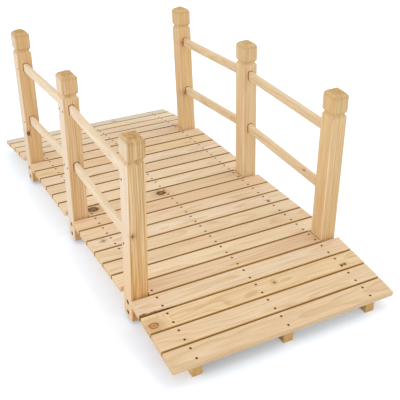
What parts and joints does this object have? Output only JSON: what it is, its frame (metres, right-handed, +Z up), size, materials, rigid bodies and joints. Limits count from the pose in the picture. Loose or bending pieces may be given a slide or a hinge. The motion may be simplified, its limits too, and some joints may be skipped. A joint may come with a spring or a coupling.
{
  "type": "moon bridge",
  "caption": "Low arched timber garden footbridge with a boarded deck on runners, capped square posts and two slim rails along each side.",
  "frame": {"origin": "on the ground under the middle of the deck, where the runners' feet stand at z = 0", "axes": "+X along the bridge to its near end in the picture, +Y across the deck to the picture's right-hand rails, +Z up"},
  "size_m": [1.5198, 0.67, 0.567],
  "materials": {
    "deck_pine": "planed, untreated",
    "runner_pine": "sawn, untreated",
    "post_pine": "planed, untreated",
    "rail_pine": "planed, untreated"
  },
  "bodies": {
    "root": {"deck_board_01": "deck_pine", "deck_board_02": "deck_pine", "deck_board_03": "deck_pine", "deck_board_04": "deck_pine", "deck_board_05": "deck_pine", "deck_board_06": "deck_pine", "deck_board_07": "deck_pine", "deck_board_08": "deck_pine", "deck_board_09": "deck_pine", "deck_board_10": "deck_pine", "deck_board_11": "deck_pine", "deck_board_12": "deck_pine", "deck_board_13": "deck_pine", "deck_board_14": "deck_pine", "deck_board_15": "deck_pine", "deck_board_16": "deck_pine", "deck_board_17": "deck_pine", "deck_board_18": "deck_pine", "deck_board_19": "deck_pine", "deck_board_20": "deck_pine", "deck_board_21": "deck_pine", "deck_board_22": "deck_pine", "deck_board_23": "deck_pine", "post_left_far": "post_pine", "post_left_middle": "post_pine", "post_left_near": "post_pine", "post_right_far": "post_pine", "post_right_middle": "post_pine", "post_right_near": "post_pine", "rail_left_far_lower": "rail_pine", "rail_left_far_upper": "rail_pine", "rail_left_near_lower": "rail_pine", "rail_left_near_upper": "rail_pine", "rail_right_far_lower": "rail_pine", "rail_right_far_upper": "rail_pine", "rail_right_near_lower": "rail_pine", "rail_right_near_upper": "rail_pine", "runner_left": "runner_pine", "runner_middle": "runner_pine", "runner_right": "runner_pine"}
  },
  "joints": []
}
